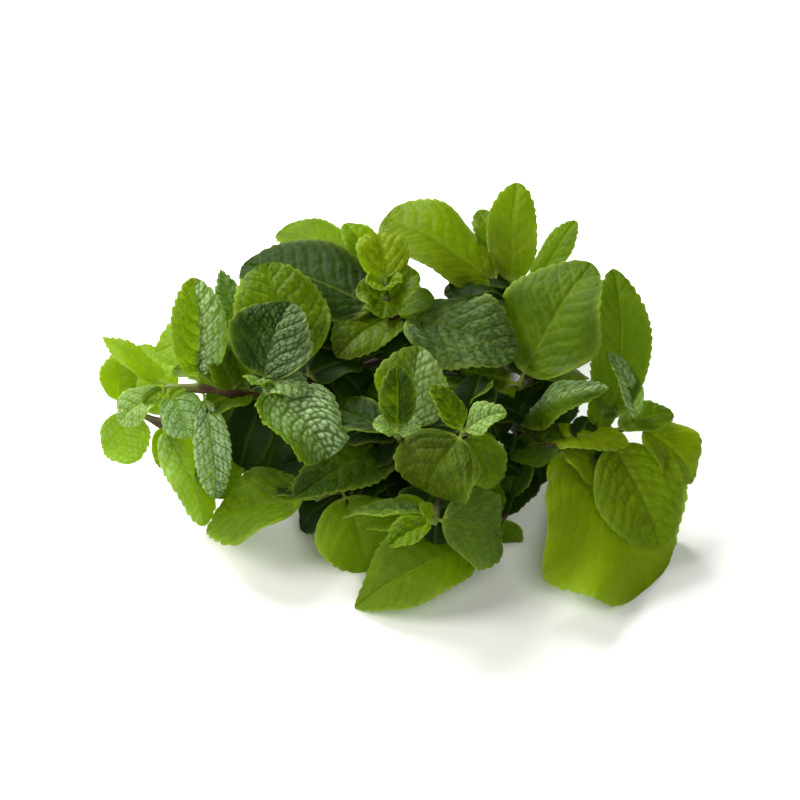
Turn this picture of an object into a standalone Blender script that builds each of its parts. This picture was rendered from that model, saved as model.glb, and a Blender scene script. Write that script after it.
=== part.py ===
"""A loose bunch of mint lying on a table: leafy stems whose cut ends lie together at the
back and whose tops fan out to the front, left and right.

Each leafy stem is one object: a square stem with its leaves grown from it in pairs.
Sizes in the tables are millimetres, angles are degrees, +Z is up and the front is -Y.
"""

import math
from dataclasses import dataclass

import bmesh
import bpy
from mathutils import Matrix, Vector

MM = 0.001
UP = Vector((0, 0, 1))

STEM_HALF_SIDE = (1.6, 0.8)  # half the square stem's width at the cut end and at the tip
STEM_CORNER = 0.62  # where the chamfered corner of the square starts, as a share of the half side
STEM_STEPS = 12
CURVE_STEPS = 24  # between two given points, before the path is spaced evenly
BLADE_THICKNESS = 0.7
STALK_THICKNESS = 1.2
STALK_HALF_WIDTH = 0.6
STALK_SHARE = 0.1  # of the leaf's length
BASE_ROUNDNESS, TIP_ROUNDNESS = 0.5, 0.62  # exponents of the outline at the stalk and at the tip
TOOTH = 0.055  # how far a tooth stands out, as a share of the half width
TOOTH_LEAN = 0.35  # how far it points forward, in stations
CUPPING = 0.35  # how much of the fold the edge gives back
RIPPLE = 0.06  # how far the blade's edge waves up and down, as a share of the half width
RIPPLE_STEP = 2.2  # the wave's angle from one station to the next, in radians
LARGE_LEAF = 34  # from this length on a leaf's halves are curved across
TOOTH_PITCH = 7  # along the midrib
LEAST_TEETH = 4
GREEN = (0.105, 0.235, 0.02, 1)


@dataclass
class Leaf:
    """One leaf, from its root on the stem to its tip."""

    at: float  # where it grows, as a share of the stem from the cut end
    tip: tuple
    width: float
    roll: float = 0  # the blade's tilt about its midrib
    bend: float = 30  # how far the midrib arches over from root to tip
    fold: float = 14  # how far each half is raised from flat


SPRIGS = {
    "left_front_stem": (
        [(37, 78, 5.4), (17, 44, 22), (-18, 8, 38), (-52, -14, 46), (-70, -17, 51), (-83, -16, 50)],
        [
            Leaf(0.93, (-73, 4, 84), 25, roll=5, bend=10, fold=32),
            Leaf(0.92, (-66, -35, 12), 14, bend=20, fold=35),
            Leaf(1.0, (-100, -25, 42), 16, bend=20),
            Leaf(0.99, (-74, -27, 36), 17, bend=40),
            Leaf(0.99, (-106, 1, 60), 18, bend=10, fold=25),
        ],
    ),
    "left_low_stem": (
        [(30, 76, 1.6), (4, 38, 9), (-40, 2, 20), (-72, -14, 26), (-103, -3, 30)],
        [
            Leaf(1.0, (-101, -14, 9), 21, bend=20),
            Leaf(1.0, (-102, 9, 46), 13),
            Leaf(0.89, (-99, 28, 36), 20),
            Leaf(0.87, (-72, -38, 1), 18, fold=25),
            Leaf(0.78, (-59, -30, 8), 18),
            Leaf(0.7, (-66, -5, 33), 20),
        ],
    ),
    "left_broad_stem": (
        [(46, 80, 5.4), (13, 34, 32), (-18, -4, 52), (-38, -24, 60), (-47, -28, 62)],
        [
            Leaf(1.0, (-23, -55, 54), 33, bend=50, fold=8),
            Leaf(1.0, (-33, -9, 84), 28, fold=22),
            Leaf(1.0, (-32, -37, 68), 14),
            Leaf(1.0, (-50, -36, 71), 11),
            Leaf(0.92, (-48, 11, 86), 34, bend=20),
            Leaf(0.62, (-22, 8, 58), 18),
        ],
    ),
    "left_back_stem": (
        [(32, 79, 5.4), (2, 52, 22), (-34, 26, 36), (-60, 12, 48)],
        [
            Leaf(1.0, (-65, 26, 71), 11),
            Leaf(1.0, (-80, 10, 48), 16),
        ],
    ),
    "top_back_stem": (
        [(35, 83, 9.2), (22, 50, 28), (4, 30, 46), (-10, 36, 63)],
        [
            Leaf(1.0, (-21, 47, 74), 14),
            Leaf(1.0, (-46, 59, 66), 26),
        ],
    ),
    "centre_left_stem": (
        [(41, 77, 1.6), (26, 36, 16), (8, -10, 34), (1, -42, 50), (-1, -52, 62)],
        [
            Leaf(1.0, (-1, -41, 82), 13, bend=5, fold=25),
            Leaf(1.0, (-9, -51, 66), 9),
            Leaf(1.0, (7, -52, 66), 9),
            Leaf(0.84, (6, -24, 76), 27, bend=15),
            Leaf(0.98, (-32, -21, 50), 16, bend=10),
            Leaf(0.8, (-26, 4, 44), 18),
            Leaf(0.75, (-21, -31, 38), 22),
        ],
    ),
    "centre_right_stem": (
        [(52, 77, 1.6), (42, 34, 16), (30, -8, 38), (23, -42, 54), (21, -54, 64)],
        [
            Leaf(1.0, (11, -46, 78), 11, bend=10),
            Leaf(1.0, (35, -53, 73), 13),
            Leaf(0.95, (8, -64, 45), 31, bend=50, fold=8),
            Leaf(0.92, (32, -60, 44), 17, bend=40),
            Leaf(0.78, (31, -29, 64), 12),
            Leaf(0.62, (2, 4, 50), 20),
            Leaf(0.75, (36, -10, 34), 16),
        ],
    ),
    "front_stem": (
        [(46, 79, 1.6), (36, 24, 14), (22, -28, 24), (14, -56, 35), (11, -72, 40)],
        [
            Leaf(0.97, (-20, -65, 36), 12, roll=50, bend=10),
            Leaf(1.0, (-4, -81, 38), 12),
            Leaf(1.0, (7, -69, 46), 6),
            Leaf(0.96, (-12, -59, 26), 16),
            Leaf(0.99, (36, -66, 14), 30),
            Leaf(0.78, (1, -57, 18), 20),
        ],
    ),
    "front_low_stem": (
        [(63, 77, 1.6), (60, 36, 7), (50, -8, 12), (38, -42, 15), (30, -57, 17)],
        [
            Leaf(1.0, (-18, -76, 1.2), 30, bend=20),
            Leaf(0.9, (36, -48, 4), 16),
        ],
    ),
    "front_left_stem": (
        [(35, 78, 1.6), (14, 26, 12), (-6, -28, 22), (-30, -44, 23)],
        [
            Leaf(1.0, (-69, -42, 6), 30),
            Leaf(0.93, (-10, -61, 1), 31),
            Leaf(0.62, (-38, -44, 26), 24, bend=40),
            Leaf(1.0, (-52, -28, 20), 20),
        ],
    ),
    "right_stem": (
        [(57, 79, 1.6), (51, 40, 13), (43, 0, 25), (45, -26, 31), (59, -32, 37), (84, -22, 38)],
        [
            Leaf(0.92, (78, 10, 84), 25, bend=20),
            Leaf(1.0, (74, -14, 65), 11, fold=35),
            Leaf(1.0, (107, -31, 22), 26),
            Leaf(0.92, (93, -58, 13), 37, bend=20),
            Leaf(0.83, (81, -71, 2), 54, fold=8),
            Leaf(0.66, (73, -24, 61), 24, roll=60, fold=30),
            Leaf(0.72, (44, -46, 18), 17),
            Leaf(0.52, (43, -6, 43), 14),
        ],
    ),
    "right_back_stem": (
        [(69, 78, 1.6), (62, 42, 18), (52, 8, 37), (42, -12, 48)],
        [
            Leaf(1.0, (66, 10, 87), 43, bend=20),
            Leaf(1.0, (14, -7, 50), 20),
            Leaf(0.9, (68, 12, 34), 20),
        ],
    ),
    "back_stem": (
        [(66, 80, 5.4), (60, 58, 26), (49, 38, 50), (38, 18, 66)],
        [
            Leaf(1.0, (-5, 39, 87), 37),
            Leaf(0.92, (41, 45, 94), 20),
            Leaf(0.7, (66, 52, 72), 13),
            Leaf(0.9, (29, 48, 82), 16),
        ],
    ),
    "top_stem": (
        [(41, 82, 9.2), (24, 50, 36), (6, 16, 58), (-5, 0, 70), (-5, -6, 79), (-5, -2, 86)],
        [
            Leaf(0.83, (-58, 32, 71), 40, bend=10),
            Leaf(0.79, (41, -14, 64), 32, roll=10),
            Leaf(0.75, (-24, -8, 61), 20),
            Leaf(1.0, (-8, 15, 96), 18, fold=30),
            Leaf(0.93, (-15, -4, 86), 14, fold=30),
            Leaf(0.93, (4, -3, 86), 14, fold=30),
        ],
    ),
}


def smooth_path(points, steps):
    """Evenly spaced points on a smooth curve through the given ones."""
    ends = [2 * points[0] - points[1], *points, 2 * points[-1] - points[-2]]
    fine = []
    for a, b, c, d in zip(ends, ends[1:], ends[2:], ends[3:]):
        for k in range(CURVE_STEPS):
            t = k / CURVE_STEPS
            slope, curve, swing = c - a, 2 * a - 5 * b + 4 * c - d, 3 * b - a - 3 * c + d
            fine.append(0.5 * (2 * b + slope * t + curve * t**2 + swing * t**3))
    fine.append(points[-1])
    reach = [0.0]
    for p, q in zip(fine, fine[1:]):
        reach.append(reach[-1] + (q - p).length)
    even = []
    j = 0
    for k in range(steps + 1):
        goal = reach[-1] * k / steps
        while j < len(fine) - 2 and reach[j + 1] < goal:
            j += 1
        even.append(fine[j].lerp(fine[j + 1], (goal - reach[j]) / (reach[j + 1] - reach[j])))
    return even


def on_path(path, share):
    """The point at that share of an evenly spaced path."""
    place = min(share, 1) * (len(path) - 1)
    k = min(int(place), len(path) - 2)
    return path[k].lerp(path[k + 1], place - k)


def stem_section(half):
    """The square's outline with its corners cut off, seen along the stem."""
    corner = half * STEM_CORNER
    quarter = [(half, corner), (corner, half)]
    outline = []
    for _ in range(4):
        outline += quarter
        quarter = [(-b, a) for a, b in quarter]
    return outline


def stem_solid(path):
    """A square stem with chamfered corners, tapering from the cut end to the tip."""
    mesh = bmesh.new()
    rings = []
    thick, thin = STEM_HALF_SIDE
    across = UP.cross(path[1] - path[0]).normalized()
    for k, centre in enumerate(path):
        along = (path[min(k + 1, len(path) - 1)] - path[max(k - 1, 0)]).normalized()
        across = (across - across.dot(along) * along).normalized()
        upward = along.cross(across)
        half = thick + (thin - thick) * k / (len(path) - 1)
        rings.append([mesh.verts.new((centre + across * a + upward * b) * MM) for a, b in stem_section(half)])
    sides = len(rings[0])
    for lower, upper in zip(rings, rings[1:]):
        for j in range(sides):
            mesh.faces.new((lower[j], lower[(j + 1) % sides], upper[(j + 1) % sides], upper[j]))
    mesh.faces.new(reversed(rings[0]))
    mesh.faces.new(rings[-1])
    return mesh


def half_width(leaf, s):
    """The outline's half width at a share s of the blade's length."""
    peak = BASE_ROUNDNESS / (BASE_ROUNDNESS + TIP_ROUNDNESS)
    rising = (s / peak) ** BASE_ROUNDNESS
    falling = ((1 - s) / (1 - peak)) ** TIP_ROUNDNESS
    return leaf.width / 2 * rising * falling


def midrib(leaf, root):
    """A function of the share along the midrib: its point, its direction and the way across."""
    chord = (Vector(leaf.tip) - root).normalized()
    sideways = Matrix.Rotation(math.radians(leaf.roll), 3, chord) @ UP.cross(chord).normalized()
    bend = math.radians(leaf.bend)
    radius = (Vector(leaf.tip) - root).length / (2 * math.sin(bend / 2))

    def place(share):
        turn = bend * (share - 0.5)
        upward = chord.cross(sideways)
        point = root + chord * (radius * (math.sin(turn) + math.sin(bend / 2)))
        point += upward * (radius * (math.cos(turn) - math.cos(bend / 2)))
        return point, math.cos(turn) * chord - math.sin(turn) * upward, sideways

    return place


def leaf_stations(leaf, length):
    """Cross-sections along the leaf: how far along, half width, tooth's lean and thickness.

    The first two are the ends of the stalk, and from there on every other one is a tooth.
    """
    steps = 2 * max(LEAST_TEETH, round(length / TOOTH_PITCH))
    stations = [(end, STALK_HALF_WIDTH, 0, STALK_THICKNESS) for end in (0, STALK_SHARE)]
    for k in range(1, steps):
        s = k / steps
        out = TOOTH if k % 2 else -TOOTH
        lean = TOOTH_LEAN / steps if k % 2 else 0
        along = STALK_SHARE + (1 - STALK_SHARE) * s
        stations.append((along, half_width(leaf, s) * (1 + out), lean, BLADE_THICKNESS))
    return stations


def leaf_solid(leaf, root):
    """A thin closed blade with a toothed edge on its stalk, whose end is sunk into the stem."""
    length = (Vector(leaf.tip) - root).length
    columns = (-1, -0.5, 0, 0.5, 1) if length >= LARGE_LEAF else (-1, 0, 1)
    place = midrib(leaf, root)
    fold = math.radians(leaf.fold)
    mesh = bmesh.new()
    top, bottom = [], []

    def add_row(share, half, lean, thickness, columns, wave):
        tops, bottoms = [], []
        for column in columns:
            point, along, sideways = place(share + lean * abs(column))
            normal = along.cross(sideways)
            out = abs(column) * half
            lift = out * math.sin(fold) * (1 - CUPPING * abs(column))
            lift += out * RIPPLE * math.sin(wave * RIPPLE_STEP + column)
            surface = point + sideways * column * half * math.cos(fold) + normal * lift
            tops.append(mesh.verts.new((surface + normal * thickness / 2) * MM))
            bottoms.append(mesh.verts.new((surface - normal * thickness / 2) * MM))
        top.append(tops)
        bottom.append(bottoms)

    for wave, (share, half, lean, thickness) in enumerate(leaf_stations(leaf, length)):
        add_row(share, half, lean, thickness, columns, wave)
    add_row(1, 0, 0, BLADE_THICKNESS, (0,), 0)

    last = len(columns) - 1
    tip_top, tip_bottom = top.pop()[0], bottom.pop()[0]
    for k in range(len(top) - 1):
        for j in range(last):
            a, b, c, d = (k, j), (k + 1, j), (k + 1, j + 1), (k, j + 1)
            halves = ((a, b, c), (a, c, d)) if columns[j] >= 0 else ((a, b, d), (b, c, d))
            for corners in halves:
                mesh.faces.new([top[row][column] for row, column in corners])
                mesh.faces.new([bottom[row][column] for row, column in reversed(corners)])
        for j in (0, last):
            mesh.faces.new((top[k][j], top[k + 1][j], bottom[k + 1][j], bottom[k][j]))
    for j in range(last):
        mesh.faces.new((top[-1][j], top[-1][j + 1], tip_top))
        mesh.faces.new((bottom[-1][j], bottom[-1][j + 1], tip_bottom))
        mesh.faces.new((top[0][j], top[0][j + 1], bottom[0][j + 1], bottom[0][j]))
    for j in (0, last):
        mesh.faces.new((top[-1][j], tip_top, tip_bottom, bottom[-1][j]))
    bmesh.ops.recalc_face_normals(mesh, faces=mesh.faces)
    return mesh


def as_object(name, solid, collection):
    mesh = bpy.data.meshes.new(name)
    solid.to_mesh(mesh)
    solid.free()
    made = bpy.data.objects.new(name, mesh)
    collection.objects.link(made)
    return made


def join_leaves(stem, grown):
    """Makes the stem and the leaves of a collection one body."""
    union = stem.modifiers.new("leaves", "BOOLEAN")
    union.operation = "UNION"
    union.operand_type = "COLLECTION"
    union.collection = grown
    union.solver = "EXACT"
    graph = bpy.context.evaluated_depsgraph_get()
    whole = bpy.data.meshes.new_from_object(stem.evaluated_get(graph))
    stem.modifiers.clear()
    stem.data = whole
    for leaf in list(grown.objects):
        bpy.data.objects.remove(leaf)
    bpy.data.collections.remove(grown)


def leafy_stem(name, points, leaves, material):
    """One stem and its leaves, joined into one solid."""
    scene = bpy.context.scene.collection
    grown = bpy.data.collections.new(name + "_leaves")
    scene.children.link(grown)
    path = smooth_path([Vector(p) for p in points], STEM_STEPS)
    stem = as_object(name, stem_solid(path), scene)
    for leaf in leaves:
        as_object(name + "_leaf", leaf_solid(leaf, on_path(path, leaf.at)), grown)
    join_leaves(stem, grown)
    stem.data.materials.clear()
    stem.data.materials.append(material)
    return stem


def set_down(stems):
    """Puts the bunch's lowest point on the ground and its middle over the origin."""
    corners = [vertex.co for stem in stems for vertex in stem.data.vertices]
    low = Vector([min(corner[axis] for corner in corners) for axis in range(3)])
    high = Vector([max(corner[axis] for corner in corners) for axis in range(3)])
    middle = (low + high) / 2
    for stem in stems:
        stem.data.transform(Matrix.Translation((-middle.x, -middle.y, -low.z)))


def leaf_green():
    material = bpy.data.materials.new("mint_leaf")
    material.use_nodes = True
    shader = material.node_tree.nodes["Principled BSDF"]
    shader.inputs["Base Color"].default_value = GREEN
    shader.inputs["Roughness"].default_value = 0.5
    shader.inputs["Metallic"].default_value = 0
    return material


def main():
    for old in list(bpy.data.objects):
        bpy.data.objects.remove(old)
    material = leaf_green()
    set_down([leafy_stem(name, points, leaves, material) for name, (points, leaves) in SPRIGS.items()])


if __name__ == "__main__":
    main()
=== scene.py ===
import math
from types import SimpleNamespace

import bpy
import numpy as np
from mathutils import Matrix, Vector


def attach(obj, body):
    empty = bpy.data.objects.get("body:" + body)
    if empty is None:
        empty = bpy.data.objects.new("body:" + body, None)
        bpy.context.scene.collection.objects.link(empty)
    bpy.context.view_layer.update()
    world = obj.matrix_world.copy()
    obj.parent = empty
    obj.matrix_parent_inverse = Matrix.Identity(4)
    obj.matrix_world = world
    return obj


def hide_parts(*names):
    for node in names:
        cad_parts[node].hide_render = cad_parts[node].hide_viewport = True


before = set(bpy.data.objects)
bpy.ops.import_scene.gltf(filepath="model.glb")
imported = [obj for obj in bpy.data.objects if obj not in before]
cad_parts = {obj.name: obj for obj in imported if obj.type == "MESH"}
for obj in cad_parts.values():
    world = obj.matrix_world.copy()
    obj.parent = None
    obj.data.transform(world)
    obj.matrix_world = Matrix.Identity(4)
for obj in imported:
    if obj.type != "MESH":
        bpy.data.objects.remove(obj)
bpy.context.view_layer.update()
mm = 0.001
setDown = np.array((1.3, 0.05, 0.0))    # mm, moves the leaves and stems below over the model's origin


view = {
    "elevation": 42,          # degrees above the floor
    "distance": 0.693,        # m
    "target": (0.0013, 0.0, 0.030),
    "lens": 85,
}


def placeCamera():
    camera = bpy.data.objects.new("camera", bpy.data.cameras.new("camera"))
    bpy.context.scene.collection.objects.link(camera)
    rise = math.radians(view["elevation"])
    away = Vector((0, -math.cos(rise), math.sin(rise))) * view["distance"]
    camera.location = Vector(view["target"]) + away
    camera.rotation_euler = (math.radians(90 - view["elevation"]), 0, 0)
    camera.data.lens = view["lens"]
    camera.data.sensor_width = 36
    camera.data.clip_start = 0.01
    camera.data.dof.use_dof = False
    bpy.context.scene.camera = camera


def freshMaterial(name):
    material = bpy.data.materials.new(name)
    material.use_nodes = True
    return material, material.node_tree, material.node_tree.nodes["Principled BSDF"]


studio = {
    "sky": (0.96, 0.98, 0.96),
    "skyStrength": 0.16,
    "floor": (0.93, 0.93, 0.92),
    "floorRoughness": 0.9,
    "floorRadius": 3,         # m
    "floorSides": 64,
    "aim": (0, 0, 0.04),      # m, where the lamps point
    # place in m, size in m, watts, colour
    "window": ((-0.75, 1.05, 1.1), (1.2, 0.9), 60, (0.98, 0.99, 0.97)),
    "left": ((-1.2, -0.2, 1.0), (0.7, 0.7), 18, (1.0, 0.98, 0.92)),
    "front": ((0.3, -1.2, 1.4), (1.1, 0.9), 14, (1.0, 0.99, 0.97)),
}


def areaLight(name, place, size, watts, colour):
    lamp = bpy.data.lights.new(name, "AREA")
    lamp.shape = "RECTANGLE"
    lamp.size, lamp.size_y = size
    lamp.energy = watts
    lamp.color = colour
    thing = bpy.data.objects.new(name, lamp)
    thing.location = place
    aim = Vector(studio["aim"]) - Vector(place)
    thing.rotation_euler = aim.to_track_quat("-Z", "Y").to_euler()
    bpy.context.scene.collection.objects.link(thing)


def makeSky():
    world = bpy.data.worlds.new("studio")
    world.use_nodes = True
    sky = world.node_tree.nodes["Background"]
    sky.inputs["Color"].default_value = (*studio["sky"], 1)
    sky.inputs["Strength"].default_value = studio["skyStrength"]
    bpy.context.scene.world = world
    bpy.context.scene.view_settings.view_transform = "Standard"


def makeFloor():
    radius, sides = studio["floorRadius"], studio["floorSides"]
    angles = [k * 2 * math.pi / sides for k in range(sides)]
    ring = [(radius * math.cos(angle), radius * math.sin(angle), 0) for angle in angles]
    mesh = bpy.data.meshes.new("floor")
    mesh.from_pydata(ring, [], [tuple(range(sides))])
    floor = bpy.data.objects.new("floor", mesh)
    bpy.context.scene.collection.objects.link(floor)
    material, tree, shader = freshMaterial("paleFloor")
    shader.inputs["Base Color"].default_value = (*studio["floor"], 1)
    shader.inputs["Roughness"].default_value = studio["floorRoughness"]
    mesh.materials.append(material)


placeCamera()
makeSky()
for lamp in ("window", "left", "front"):
    areaLight(lamp + "Light", *studio[lamp])
makeFloor()
print("studio and camera are in place")


# left and right are as seen from the leaf's tip
plainLeaf = {
    "roll": 0,                # degrees that the right half is raised
    "bend": 30,               # degrees that the midrib arches over from root to tip
    "fold": 14,               # degrees that each half rises from flat at the midrib
    "curl": -12,              # degrees that the margins add to the fold
    "twist": 0,               # degrees, from root to tip
    "lipLeft": 0,             # degrees more at that margin alone
    "lipRight": 0,
    "sweep": 0.0,             # how far the midrib bows to the right, as a share of the length
    "droop": 0.15,            # how far the tip sinks, as a share of dropAtTip
    "blunt": 0.62,            # exponent of the outline at the tip, less is rounder
    "tooth": 0.75,            # height of the teeth, times the blade's
    "detail": 1.0,            # fineness of the mesh
    "quilt": 0.7,             # height of the tissue between the veins
    "cell": 2.1,              # mm, size of a quilted cell on a large leaf
    "tone": 0.0,              # lighter above 0 and darker below, about 1 either way; partly the leaf's own green, partly painted shade deep in the bunch and painted light on leaves lit from behind
    "warm": 0.6,              # under 0.6 is bluish and over 1 is golden, partly the leaf's own yellow and partly painted glow of light through it
    "bloom": 0.5,             # silky shine, or duller below 0
    "pale": 0.0,              # veins lighter than the tissue, or darker below 0
    "rim": 1.0,               # how light the edge is
    "frost": 0.0,             # how much painted sheen lies on the crowns of the quilting
    "frostSide": 0,           # up to 1 or -1 where the right or the left half gets more of the painted sheen
}
# looks of a leaf darkened with painted shade, where the bunch lies in deep shadow
paintedShadeLooks = {
    "tone": -0.95,
    "quilt": 0.6,
    "detail": 0.6,
    "warm": 0.7,
    "bloom": 0.0,
    "pale": -0.4,
    "rim": 0.3,
}


def leaf(at, tip, width, **looks):
    # grows at a share of the stem, with the place of its tip and its width in mm
    return {**plainLeaf, "at": at, "tip": tip, "width": width, **looks}


def paintedShadeLeaf(at, tip, width, **looks):
    # a plainer leaf, nearly black with painted shade, that fills the gaps inside the bunch
    return leaf(at, tip, width, **{**paintedShadeLooks, **looks})


blade = {
    "fullLength": 40,         # mm, shorter leaves have finer teeth and cells
    "stalkShare": 0.1,        # of the leaf's length
    "stalkRows": 4,
    "stalkHalf": 0.6,         # mm
    "stalkThick": 1.1,
    "thick": 0.42,            # mm, at the midrib
    "tipHalf": 0.12,          # mm, half the width where the tip ends
    "roundBase": 0.5,         # exponent of the outline at the stalk
    "tooth": 0.42,            # mm that a tooth stands out on a large leaf
    "toothPitch": 3.0,        # mm along the midrib
    "toothRise": 0.7,         # share of the pitch on a tooth's long side
    "fewestTeeth": 7,
    "rowsPerTooth": 5,
    "colPitch": (0.36, 0.009),          # mm between columns, and more of it for each mm of width
    "fewestCols": 6,          # on each side of the midrib
    "fewestVeins": 4,
    "lateralPitch": 6.5,      # mm between side veins
    "lateralSlant": 0.78,     # how much closer they lie, measured across them
    "cellSpread": 0.75,       # how uneven the quilted cells are, up to 1
    "cellHeight": 0.24,       # of the cell's size
    "puffHeight": 0.3,        # mm, of the swelling between two side veins
    "midribDepth": 0.4,       # mm, of the groove along it
    "ribHeight": 0.6,         # mm that the midrib stands out below
    "cupping": 0.7,           # how much of the fold the margins give back
    "dropAtTip": 0.4,         # of the leaf's length
    "ripple": 0.09,           # of the edge, short and long waves
    "wave": 0.14,
    "twistDrift": 14,         # degrees by chance
    "sweepDrift": 0.025,      # share of the length by chance
}


def ease(x):
    x = np.clip(x, 0, 1)
    return x * x * (3 - 2 * x)


def jitter(ix, iy, seed):
    # a scatter between 0 and 1, always the same for one cell
    v = np.sin(ix * 127.1 + iy * 311.7 + seed * 74.7) * 43758.5453
    return v - np.floor(v)


def cellBorder(x, y, seed):
    # how far a place is from the border between its cell and the next
    cx = np.floor(x)
    cy = np.floor(y)
    far = 9.0
    first = np.full(x.shape, far)
    second = np.full(x.shape, far)
    spread = blade["cellSpread"]
    for dx in (-1, 0, 1):
        for dy in (-1, 0, 1):
            px = cx + dx + 0.5 + spread * (jitter(cx + dx, cy + dy, seed) - 0.5)
            py = cy + dy + 0.5 + spread * (jitter(cx + dx, cy + dy, seed + 5.3) - 0.5)
            d = np.hypot(x - px, y - py)
            second = np.where(d < first, first, np.minimum(second, d))
            first = np.minimum(first, d)
    return second - first


def outline(s, width, blunt):
    # half the width at a share of the blade's length
    base = blade["roundBase"]
    peak = base / (base + blunt)
    return width / 2 * (s / peak) ** base * (np.maximum(1 - s, 0) / (1 - peak)) ** blunt


def leafFrame(one, root):
    # the leaf's length, and the directions to its tip, to its right and out of its upper face
    chord = np.array(one["tip"], float) + setDown - root
    length = float(np.linalg.norm(chord))
    chord = chord / length
    side = np.cross((0, 0, 1), chord)
    side = side / np.linalg.norm(side)
    up = np.cross(chord, side)
    roll = math.radians(one["roll"])
    rolledSide = math.cos(roll) * side + math.sin(roll) * up
    rolledUp = math.cos(roll) * up - math.sin(roll) * side
    return length, chord, rolledSide, rolledUp


def leafGrid(one, length, wobble):
    # rows run from the stalk to the tip and columns from the left edge to the right one
    stalkRows, stalkShare, stalkHalf = blade["stalkRows"], blade["stalkShare"], blade["stalkHalf"]
    size = min(1, length / blade["fullLength"])
    grown = 0.55 + 0.45 * size    # finer teeth and cells on small leaves
    teeth = max(blade["fewestTeeth"], round(length * (1 - stalkShare) / (blade["toothPitch"] * grown)))
    rows = teeth * round(blade["rowsPerTooth"] * one["detail"])
    width = one["width"]
    colPitch = blade["colPitch"][0] + blade["colPitch"][1] * width
    cols = 2 * max(blade["fewestCols"], int(one["detail"] * width / 2 / colPitch)) + 1
    # rows lie closer at both ends of the blade
    t = np.arange(1, rows + 1) / rows
    rowPlace = np.concatenate([np.zeros(stalkRows), 0.65 * t + 0.35 * (1 - np.cos(math.pi * t)) / 2])
    rowInBlade = np.arange(len(rowPlace)) >= stalkRows
    share = np.where(rowInBlade, stalkShare + (1 - stalkShare) * rowPlace, 0)
    share[:stalkRows] = np.linspace(0, stalkShare, stalkRows)
    half = np.maximum(outline(np.maximum(rowPlace, 1e-4), width, one["blunt"]), blade["tipHalf"])
    half = np.where(rowInBlade, half, stalkHalf)
    firstRows = slice(stalkRows, stalkRows + 3)    # these start as wide as the stalk
    half[firstRows] = np.maximum(half[firstRows], stalkHalf)

    s, q = np.meshgrid(rowPlace, np.linspace(-1, 1, cols), indexing="ij")
    isBlade = np.repeat(rowInBlade[:, None], cols, 1)
    rightSide = q > 0
    offRib = np.abs(q)
    half = half[:, None] * (1 + 0.04 * np.sin(s * 7 + wobble[4] + 2 * rightSide))

    # each tooth rises slowly and falls back fast, towards the tip
    rise = blade["toothRise"]
    place = np.mod(s * teeth + 0.35 * rightSide + 0.12 * np.sin(s * 23 + wobble[5]), 1)
    longSide = np.sin(place / rise * math.pi / 2)
    shortSide = np.cos((place - rise) / (1 - rise) * math.pi / 2)
    lobe = np.where(place < rise, longSide, shortSide)
    edge = offRib ** 6 * isBlade * ease(s * 6) * ease((1 - s) * 9)
    uneven = 1 + 0.35 * np.sin(s * 31 + wobble[6] + q)
    outward = one["tooth"] * blade["tooth"] * (0.4 + 0.6 * size) * uneven * (lobe - 0.6) * edge * 2
    along = np.repeat(share[:, None], cols, 1)
    along = along + edge * (lobe - 0.4) * 0.25 / teeth * (1 - stalkShare)
    return SimpleNamespace(size=size, grown=grown, length=length, s=s, q=q, offRib=offRib, half=half,
                           away=offRib * half, isBlade=isBlade, rightSide=rightSide, outward=outward,
                           along=along)


def leafVeins(one, grid, wobble, seed):
    # side veins leave the midrib slantwise and curve towards the tip, with quilted cells between them
    s, q, offRib, away = grid.s, grid.q, grid.offRib, grid.away
    veins = max(blade["fewestVeins"], round(grid.length / blade["lateralPitch"])) + 0.5
    run = s * grid.length - away * (0.55 + 0.45 * offRib)
    phase = run / grid.length * veins + 0.4 * grid.rightSide
    phase = phase + 0.12 * np.sin(away * 0.5 + wobble[0] + 3 * s)
    phase = phase + 0.07 * np.sin(s * 13 + wobble[3] + 2 * q)
    gap = grid.length / veins * blade["lateralSlant"]
    toSide = np.abs(phase - np.round(phase)) * gap
    cell = one["cell"] * grid.grown
    inRow = max(2, round(gap / cell))
    cellRow = away / (cell * 1.15) + 40 * grid.rightSide    # the two halves have other cells
    toCell = cellBorder(phase * inRow, cellRow, seed % 97) * cell
    bulge = ease(np.minimum(toSide / (0.44 * cell), toCell / (0.38 * cell))) ** 0.8 * grid.isBlade
    puff = (0.5 - 0.5 * np.cos(phase * 2 * math.pi)) * grid.isBlade

    quilt = one["quilt"]
    fade = (1 - 0.6 * offRib ** 6) * ease(away / 1.2) * (0.4 + 0.6 * min(1, grid.length / 26))
    relief = quilt * (blade["cellHeight"] * cell * bulge + blade["puffHeight"] * puff) * fade
    relief = relief + 0.12 * quilt * np.sin(phase * 3.1 + away * 1.1 + wobble[7]) * fade
    relief = relief - blade["midribDepth"] * quilt * np.exp(-(away / 0.75) ** 2) * grid.isBlade

    pale = max(one["pale"], 0)
    # veins are darker by their own colour below pale 0, and by painted shade in their grooves that grows
    # with the quilting
    dark = max(-one["pale"], 0) + 0.45 * quilt
    midrib = np.exp(-(away / (0.25 + 0.45 * (1 - s))) ** 2)
    sideVein = np.exp(-(toSide / (0.26 + 0.2 * pale)) ** 2) * (1 - 0.6 * offRib ** 3)
    netVein = np.exp(-(toCell / 0.3) ** 2)
    paleNet = pale * np.maximum(0.75 * sideVein, 0.3 * netVein)
    paleVein = np.maximum(midrib * (0.45 + 0.55 * pale), paleNet)
    darkVeinAndGrooveShade = np.clip(dark * np.maximum(sideVein, 0.7 * netVein), 0, 1) * (1 - midrib)
    return SimpleNamespace(relief=relief, bulge=bulge, side=sideVein, pale=paleVein, dark=darkVeinAndGrooveShade)


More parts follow.
